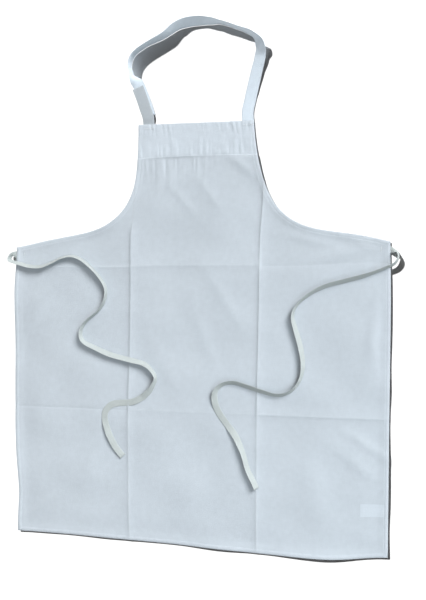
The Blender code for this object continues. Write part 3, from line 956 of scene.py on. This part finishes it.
hems = {"bottom": turned_hem("bottom_hem_turned", wide_hem & (cy < HEM_WIDTH), ["bottom_hem"])}
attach(hems["bottom"], "lower_fold")
for side, word in SIDES:
    keep = wide_hem & (side * cx > HALF_WIDTH - HEM_WIDTH) & (cy > HEM_WIDTH) & (cy < SIDE_HEM_TOP)
    hem = turned_hem(f"side_hem_{word}_turned", keep, [f"side_hem_{word}", f"side_hem_{word}_lower"])
    fold_over(hem)
    hems[f"side_{word}"] = hem
    keep = behind_rim & (FACE_EDGES < ARMHOLE_HEM) & (side * cx > 0)
    keep = keep & (cy > ARMHOLE_HEM_LOW) & (cy < SEAM - 0.5 * MM)
    hem = turned_hem(f"armhole_hem_{word}_turned", keep, [f"armhole_hem_{word}"])
    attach(hem, "apron_body")
    hems[f"armhole_{word}"] = hem
band = turned_layer(
    "top_band_turned", behind_rim & (cy > SEAM), 1.78 * MM, CLOTH, BAND_COTTON, ["top_band"]
)
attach(band, "apron_body")
print("hems:", {name: len(hem.data.polygons) for name, hem in hems.items()}, "band:", len(band.data.polygons))

# %% [markdown]
# The care label is a small satin rectangle behind the lower right side. Through the thin cotton it
# shows as a paler patch. It is blank.

# %% Care label
bm = bmesh.new()
bmesh.ops.create_grid(bm, x_segments=18, y_segments=12, size=0.5)
bmesh.ops.scale(bm, verts=bm.verts, vec=(LABEL[1] - LABEL[0], LABEL[3] - LABEL[2], 1))
bmesh.ops.translate(bm, verts=bm.verts, vec=((LABEL[0] + LABEL[1]) / 2, (LABEL[2] + LABEL[3]) / 2, 0))
lay(bm, -0.55 * MM, 0.2 * MM)
label = thicken(finish_piece("care_label_satin", bm, LABEL_SATIN), 0.3 * MM)
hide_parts("care_label")
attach(label, "lower_fold")

# %% [markdown]
# ## Neck strap and tab
# The strap is sewn behind the band on the right, runs round in a broad arch, half on its edge, and
# ends under a short tab on the left. The strap's cotton is painted lighter, as painted light, and the
# tab's is painted grey, as painted shade. Two pads between them hold the loop closed. All four are
# flat tapes, so they are made the way the ties are.

# %% Neck strap, tab and pads
STRAP_WIDTH = 23 * MM
STRAP_THICK = 0.8 * MM
STRAP_LOW = 0.8 * MM
PAD_THICK = 0.7 * MM
LAYER_GAP = 0.3 * MM
UNDER_TAB = 0.2 * MM
OVER_STRAP = UNDER_TAB + STRAP_THICK + 3 * LAYER_GAP + 2 * PAD_THICK
SEWN_STRAP = (-0.0280, -0.0180, -0.0080)
STRAP_STEP = 3 * MM
ROOT_REACH = 0.09
LOOP_ROUTE = (
    (0.910, 0.0003, 0, STRAP_LOW),
    (0.910, 0.012, 0, STRAP_LOW),
    (0.930, 0.024, 0, STRAP_LOW),
    (0.975, 0.040, 0, 0.0005),
    (1.026, 0.063, 4, 0.0002),
    (1.090, 0.094, 8, 0.0002),
    (1.148, 0.120, 14, 0.0002),
    (1.152, 0.142, 36, 0.0002),
    (1.030, 0.162, 74, 0.0002),
    (0.770, 0.176, 84, 0.0002),
    (0.490, 0.188, 84, 0.0002),
    (0.300, 0.192, 66, 0.0002),
    (0.090, 0.194, 52, 0.0002),
    (-0.115, 0.192, 52, 0.0002),
    (-0.290, 0.185, 62, 0.0002),
    (-0.500, 0.169, 76, 0.0002),
    (-0.810, 0.153, 86, 0.0002),
    (-1.020, 0.137, 88, 0.0002),
    (-1.095, 0.118, 86, 0.0002),
    (-1.065, 0.099, 80, 0.0002),
    (-0.965, 0.077, 0, 0.0002),
    (-0.888, 0.052, 0, 0.0002),
    (-0.832, 0.030, 0, 0.0002),
    (-0.805, 0.0165, 0, 0.0002),
)
TAB_ROUTE = (
    (-0.815, 0.0015, 0.0012),
    (-0.815, 0.015, OVER_STRAP),
    (-0.860, 0.034, OVER_STRAP),
    (-0.905, 0.052, OVER_STRAP),
    (-0.975, 0.073, OVER_STRAP),
)


def sewn_points(across):
    """The start of a strap, flat between the panel and the band."""
    x = across * BIB_HALF
    return [Vector((x, BIB_TOP + up, under_cloth(x, BIB_TOP + up), 0)) for up in SEWN_STRAP]


def strap_steps(points, root):
    steps = smooth_route(points, STRAP_STEP)
    follow_pulls(steps, root, ROOT_REACH)
    steps[:, 1] += BOTTOM
    return steps


strap_points = sewn_points(LOOP_ROUTE[0][0]) + [
    Vector((across * BIB_HALF, BIB_TOP + up, low, lean)) for across, up, lean, low in LOOP_ROUTE
]
tab_points = sewn_points(TAB_ROUTE[0][0]) + [
    Vector((across * BIB_HALF, BIB_TOP + up, low, 0)) for across, up, low in TAB_ROUTE
]
RIGHT_ROOT = (LOOP_ROUTE[0][0] * BIB_HALF, BIB_TOP)
LEFT_ROOT = (TAB_ROUTE[0][0] * BIB_HALF, BIB_TOP)
strap_run = strap_steps(strap_points, RIGHT_ROOT)
# The free end of the strap lies under the tab, so it is shifted with the tab's root and not its own.
to_end = np.linalg.norm(strap_run[:, :2] - (LEFT_ROOT[0], LEFT_ROOT[1] + BOTTOM), axis=1)
end_shift = (pulled(np.array([LEFT_ROOT])) - LEFT_ROOT) * (1 - ease(to_end / ROOT_REACH))[:, None]
strap_run[len(strap_run) // 2 :, :2] += end_shift[len(strap_run) // 2 :]
tab_run = strap_steps(tab_points, LEFT_ROOT)

bm, strap_middles = tape_mesh(strap_run, STRAP_WIDTH, STRAP_THICK, np.ones(len(strap_run)))
strap = finish_piece("neck_strap_tape", bm, STRAP_COTTON_PAINTED_LIGHT)
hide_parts("neck_strap", "neck_strap_sewn_end")
bm, tab_middles = tape_mesh(tab_run, STRAP_WIDTH, STRAP_THICK, np.ones(len(tab_run)))
tab = finish_piece("neck_tab_tape", bm, TAB_COTTON_PAINTED_SHADE)
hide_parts("neck_tab", "neck_tab_sewn_end")

HOOK_NYLON = cloth_material(
    "hook_nylon", (0.66, 0.70, 0.73), (0.7, 0.74, 0.77), pitch=0.0012, bump=0.0003
)
PILE_NYLON = cloth_material(
    "pile_nylon", (0.68, 0.72, 0.75), (0.72, 0.76, 0.79), pitch=0.0009, bump=0.0003
)
pad_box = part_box("hook_pad")
pad_middle = np.array([(low + high) / 2 for low, high in zip(pad_box[0], pad_box[1])])[:2]
near = np.abs(np.linalg.norm(tab_run[:, :2] - pad_middle, axis=1)).argmin()
for name, slot, material, low in (
    ("loop_pad", "pile_nylon", PILE_NYLON, UNDER_TAB + STRAP_THICK + LAYER_GAP),
    ("hook_pad", "hook_nylon", HOOK_NYLON, UNDER_TAB + STRAP_THICK + 2 * LAYER_GAP + PAD_THICK),
):
    steps = tab_run[near - 7 : near + 8].copy()
    steps[:, 2] = low
    steps[:, 3] = 0
    bm, _ = tape_mesh(steps, STRAP_WIDTH - 4 * MM, PAD_THICK, np.ones(len(steps)))
    pad = finish_piece(f"{name}_nylon", bm, material)
    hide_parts(name)
    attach(pad, "neck_loop")
turn_over(strap)
turn_over(tab)
print(f"strap {STRAP_WIDTH:.3f} m wide, {len(strap_run) * STRAP_STEP:.2f} m long")

# %% [markdown]
# ## Stitches
# Each stitch is a small capsule, and each seam is one mesh of them. A hem seam shows on the front
# and on the back, so it has two rows.

# %% Seams
STITCH_PITCH = 3.0 * MM
STITCH_LENGTH = 2.3 * MM
STITCH_RADIUS = 0.17 * MM

bm = bmesh.new()
bmesh.ops.create_uvsphere(bm, u_segments=6, v_segments=4, radius=1)
STITCH_SHAPE = bpy.data.meshes.new("stitch_shape")
bm.to_mesh(STITCH_SHAPE)
bm.free()


def stitch(bm, middle, along, up, length=STITCH_LENGTH, radius=STITCH_RADIUS):
    """One stitch: a small flattened ball, stretched along the seam."""
    along = Vector(along).normalized()
    side = Vector(up).cross(along).normalized()
    turn = Matrix((along, side, along.cross(side))).transposed().to_4x4()
    size = Matrix.Diagonal((length / 2, radius, radius * 0.8, 1))
    shape = STITCH_SHAPE.copy()
    shape.transform(Matrix.Translation(Vector(middle)) @ turn @ size)
    bm.from_mesh(shape)
    bpy.data.meshes.remove(shape)


def seam_piece(name, bm, body=None):
    write_pattern(bm, lambda vert: vert.co.xy)
    piece = finish_piece(name, bm, THREAD)
    if body:
        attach(piece, body)
    return piece


def places_along(points):
    """Even stitch places along a flat line."""
    points = np.array(points)
    run = run_along(points)
    even = np.arange(STITCH_PITCH / 2, run[-1], STITCH_PITCH)
    return np.stack([np.interp(even, run, points[:, axis]) for axis in (0, 1)], axis=1)


def sew(name, line, below, body=None):
    """Two rows of stitches along a flat line: one on the front, one on the back of what lies below."""
    flat = places_along(line)
    laid = pulled(flat)
    heights = relief(flat)
    bm = bmesh.new()
    for rise in (CLOTH / 2 + 0.05 * MM, -below):
        points = np.column_stack([laid[:, 0], laid[:, 1] + BOTTOM, np.maximum(heights + rise, 0.15 * MM)])
        directions = np.gradient(points, axis=0)
        for point, along in zip(points, directions):
            stitch(bm, point, along, (0, 0, 1))
    return seam_piece(name, bm, body)


armhole_line = [tuple(armhole_inwards(t, STITCH_IN)) for t in np.linspace(armhole_at_height(SEAM), 0.985, 90)]
inner = HALF_WIDTH - STITCH_IN
seams = [
    sew("stitches_bottom_hem", [(-inner, STITCH_IN), (inner, STITCH_IN)], 1.75 * MM, "lower_fold"),
    sew("stitches_band", [(-0.1095, SEAM + 1.5 * MM), (0.1095, SEAM + 1.5 * MM)], 2.1 * MM, "apron_body"),
]
for side, word in SIDES:
    line = mirrored(armhole_line, side)
    seams.append(sew(f"stitches_armhole_{word}", line, 1.75 * MM, "apron_body"))
    line = [(side * inner, STITCH_IN), (side * inner, WAIST - 22 * MM)]
    seam = sew(f"stitches_side_{word}", line, 1.75 * MM)
    fold_over(seam)
    seams.append(seam)
print("seams:", [seam.name for seam in seams])


# %% Strap seams and bar tacks
def sew_tape(name, steps, width, thick, first, last):
    """A row of stitches near each edge of a tape, on both of its faces."""
    middles, across, through = tape_middles(steps, width, thick)
    ahead = np.gradient(middles, axis=0)
    bm = bmesh.new()
    for edge in (-1, 1):
        for face in (-1, 1):
            for step in range(first, last):
                middle = middles[step] + across[step] * edge * (width / 2 - 2 * MM)
                stitch(bm, middle + through[step] * face * (thick / 2), ahead[step], through[step])
    return seam_piece(name, bm)


strap_seam = sew_tape("stitches_neck_strap", strap_run, STRAP_WIDTH, STRAP_THICK, 9, len(strap_run))
tab_seam = sew_tape("stitches_neck_tab", tab_run, STRAP_WIDTH, STRAP_THICK, 9, len(tab_run))
turn_over(strap_seam)
turn_over(tab_seam)


def bar_tack(name, node, middle, half, upright):
    """A bar tack: a short bar of close satin stitches over the front of the cloth."""
    bm = bmesh.new()
    for place in np.arange(-half, half, 0.45 * MM):
        flat = np.array([(middle[0], middle[1] + place) if upright else (middle[0] + place, middle[1])])
        laid = pulled(flat)[0]
        point = (laid[0], laid[1] + BOTTOM, relief(flat)[0] + CLOTH / 2 + 0.1 * MM)
        along = (1, 0.12, 0) if upright else (0.12, 1, 0)
        stitch(bm, point, along, (0, 0, 1), 2.2 * MM, 0.25 * MM)
    tack = seam_piece(name, bm, "apron_body")
    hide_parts(node)
    return tack


TACK_IN = 8 * MM
STRAP_TACK_HALF = 9.5 * MM
TIE_TACK_HALF = 4.5 * MM
bar_tack("tack_strap", "bar_tack_strap", (RIGHT_ROOT[0], BIB_TOP - TACK_IN), STRAP_TACK_HALF, False)
bar_tack("tack_tab", "bar_tack_tab", (LEFT_ROOT[0], BIB_TOP - TACK_IN), STRAP_TACK_HALF, False)
for side, word in SIDES:
    middle = (side * (HALF_WIDTH - 24.5 * MM + TACK_IN), WAIST - 14.9 * MM)
    bar_tack(f"tack_tie_{word}", f"bar_tack_tie_{word}", middle, TIE_TACK_HALF, True)

strap_length = float(steps_between(strap_middles).sum())
tab_length = float(steps_between(tab_middles).sum())
print(f"strap {strap_length:.3f} m, tab {tab_length:.3f} m")

# %% [markdown]
# ## Light
# A soft key stands at the upper right, so that creases and tapes have a light side and a shaded
# side. A very wide fill and a cool glow soften it. White cloth on a white table would lose its
# outline, so one narrow rim light falls on the table alone, from the upper left, and the apron's
# shadow draws a dark line along its right and bottom edges. The room is white to look at, but it
# lights only dimly, so that this line stays dark.

# %% Lights
AMBIENT_STRENGTH = 0.07
world = bpy.data.worlds.new("studio")
world.use_nodes = True
nodes, links = world.node_tree.nodes, world.node_tree.links
ambient = nodes["Background"]
ambient.inputs["Color"].default_value = (1, 1, 1, 1)
ambient.inputs["Strength"].default_value = AMBIENT_STRENGTH
backdrop = nodes.new("ShaderNodeBackground")
backdrop.inputs["Color"].default_value = (1, 1, 1, 1)
seen = nodes.new("ShaderNodeLightPath")
studio_wall = nodes.new("ShaderNodeMixShader")
links.new(seen.outputs["Is Camera Ray"], studio_wall.inputs[0])
links.new(ambient.outputs[0], studio_wall.inputs[1])
links.new(backdrop.outputs[0], studio_wall.inputs[2])
links.new(studio_wall.outputs[0], nodes["World Output"].inputs["Surface"])
bpy.context.scene.world = world


def add_sun(name, energy, angle, azimuth, elevation):
    """A distant light. Azimuth is where it stands, counted from +X towards +Y; angle is its width."""
    sun = bpy.data.objects.new(name, bpy.data.lights.new(name, "SUN"))
    sun.data.energy = energy
    sun.data.angle = math.radians(angle)
    turn, rise = math.radians(azimuth), math.radians(elevation)
    towards = Vector((math.cos(turn) * math.cos(rise), math.sin(turn) * math.cos(rise), math.sin(rise)))
    sun.rotation_euler = towards.to_track_quat("Z", "Y").to_euler()
    bpy.context.scene.collection.objects.link(sun)
    return sun


key = add_sun("key", energy=3.65, angle=26, azimuth=48, elevation=34)
key.data.color = (0.97, 0.985, 1.0)
fill = add_sun("fill", energy=1.02, angle=170, azimuth=220, elevation=70)
glow = bpy.data.objects.new("glow", bpy.data.lights.new("glow", "AREA"))
glow.data.size = 0.9
glow.data.energy = 6
glow.data.color = (0.70, 0.88, 1.0)
glow.location = (0.85, -0.75, 1.4)
glow.rotation_euler = (glow.location - Vector((0.2, -0.3, 0))).to_track_quat("Z", "Y").to_euler()
bpy.context.scene.collection.objects.link(glow)
rim = add_sun("rim", energy=6.2, angle=3, azimuth=132, elevation=35)
only_floor = bpy.data.collections.new("table_light")
only_floor.objects.link(floor)
rim.light_linking.receiver_collection = only_floor
not_floor = bpy.data.collections.new("apron_light")
not_floor.objects.link(floor)
not_floor.collection_objects[0].light_linking.link_state = "EXCLUDE"
for light in (key, fill, glow):
    light.light_linking.receiver_collection = not_floor
